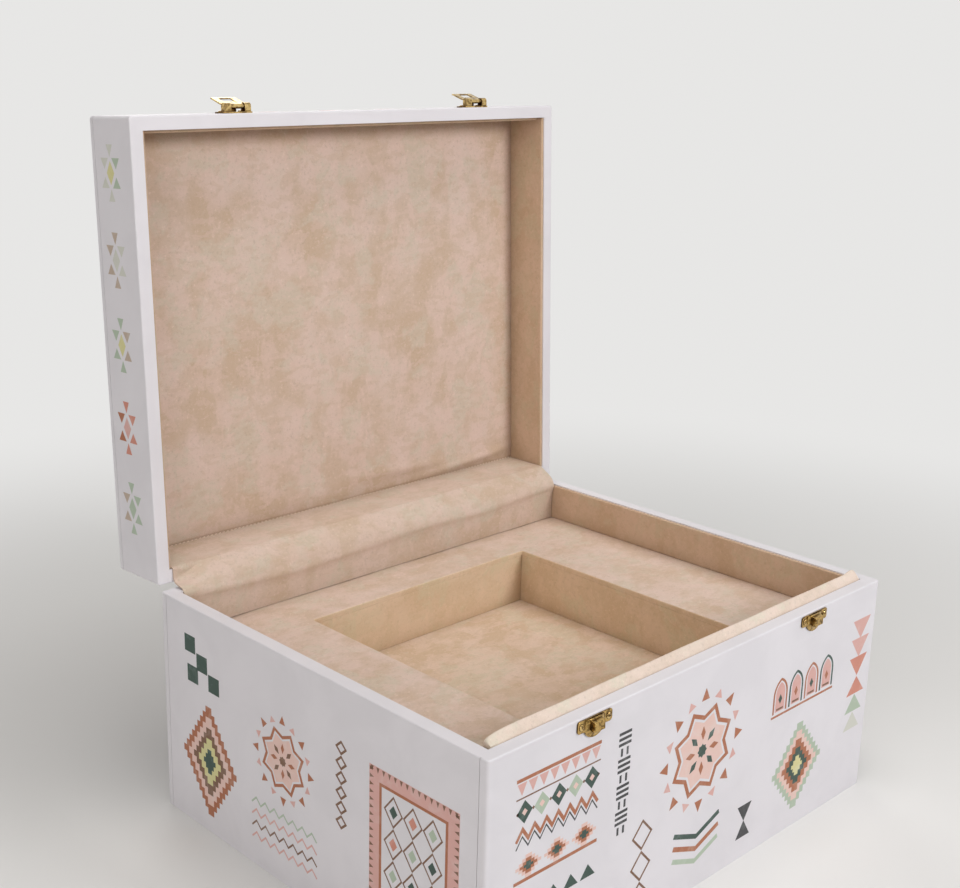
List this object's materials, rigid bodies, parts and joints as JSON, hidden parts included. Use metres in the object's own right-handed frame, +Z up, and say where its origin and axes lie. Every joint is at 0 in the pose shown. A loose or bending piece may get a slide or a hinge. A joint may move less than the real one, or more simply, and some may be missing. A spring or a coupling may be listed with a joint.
{
  "type": "arabic dowry chest",
  "caption": "Rectangular lidded presentation chest with printed wrap, suede tray with a square recess, suede hinge flap and small brass box latches.",
  "frame": {"origin": "middle of the underside, on the surface that the chest stands on", "axes": "+X to the right along the front seen from the front, +Y to the back, +Z up; stored with the lid open"},
  "size_m": [0.4, 0.3878, 0.4902],
  "materials": {
    "printed_wrap": "satin off-white coated wrap",
    "board": "raw fibreboard",
    "suede": "matt beige suede",
    "underside_felt": "matt felt paper",
    "latch_brass": "polished plated sheet",
    "hinge_steel": "brassed sheet"
  },
  "bodies": {
    "base": {"base_front_board": "board", "base_back_board": "board", "base_left_board": "board", "base_right_board": "board", "base_floor_board": "board", "base_underside_sheet": "underside_felt", "base_front_wrap": "printed_wrap", "base_back_wrap": "printed_wrap", "base_left_wrap": "printed_wrap", "base_right_wrap": "printed_wrap", "base_left_lining": "suede", "base_right_lining": "suede", "front_lip": "suede", "tray_board": "suede", "tray_cleats": "board", "recess_front_wall": "suede", "recess_back_wall": "suede", "recess_left_wall": "suede", "recess_right_wall": "suede", "recess_floor": "suede", "flap_base_band": "suede", "flap_span": "suede", "left_hinge_base_leaf": "hinge_steel", "right_hinge_base_leaf": "hinge_steel", "left_hinge_pin": "hinge_steel", "right_hinge_pin": "hinge_steel", "base_hinge_screws": "hinge_steel", "left_keeper": "latch_brass", "right_keeper": "latch_brass", "keeper_screws": "latch_brass"},
    "lid": {"lid_top_board": "board", "lid_front_board": "board", "lid_back_board": "board", "lid_left_board": "board", "lid_right_board": "board", "lid_top_wrap": "printed_wrap", "lid_band_wrap": "printed_wrap", "lid_top_pad": "suede", "lid_front_lining": "suede", "lid_left_lining": "suede", "lid_right_lining": "suede", "flap_lid_band": "suede", "left_hinge_lid_leaf": "hinge_steel", "right_hinge_lid_leaf": "hinge_steel", "lid_hinge_screws": "hinge_steel", "left_hasp_plate": "latch_brass", "right_hasp_plate": "latch_brass", "left_hasp_pin": "latch_brass", "right_hasp_pin": "latch_brass", "hasp_screws": "latch_brass"},
    "left_hasp": {"left_hasp_leaf": "latch_brass"},
    "right_hasp": {"right_hasp_leaf": "latch_brass"}
  },
  "joints": [
    {"name": "lid_hinge", "type": "hinge", "parent": "base", "child": "lid", "pos_m": [0, 0.1606, 0.1622], "axis": [1, 0, 0], "range_deg": [0, 92.5], "deforming": ["flap_span"]},
    {"name": "left_hasp_hinge", "type": "hinge", "parent": "lid", "child": "left_hasp", "pos_m": [-0.114, 0.17889, 0.48491], "axis": [1, 0, 0], "range_deg": [0, 165]},
    {"name": "right_hasp_hinge", "type": "hinge", "parent": "lid", "child": "right_hasp", "pos_m": [0.114, 0.17889, 0.48491], "axis": [1, 0, 0], "range_deg": [0, 165]}
  ]
}
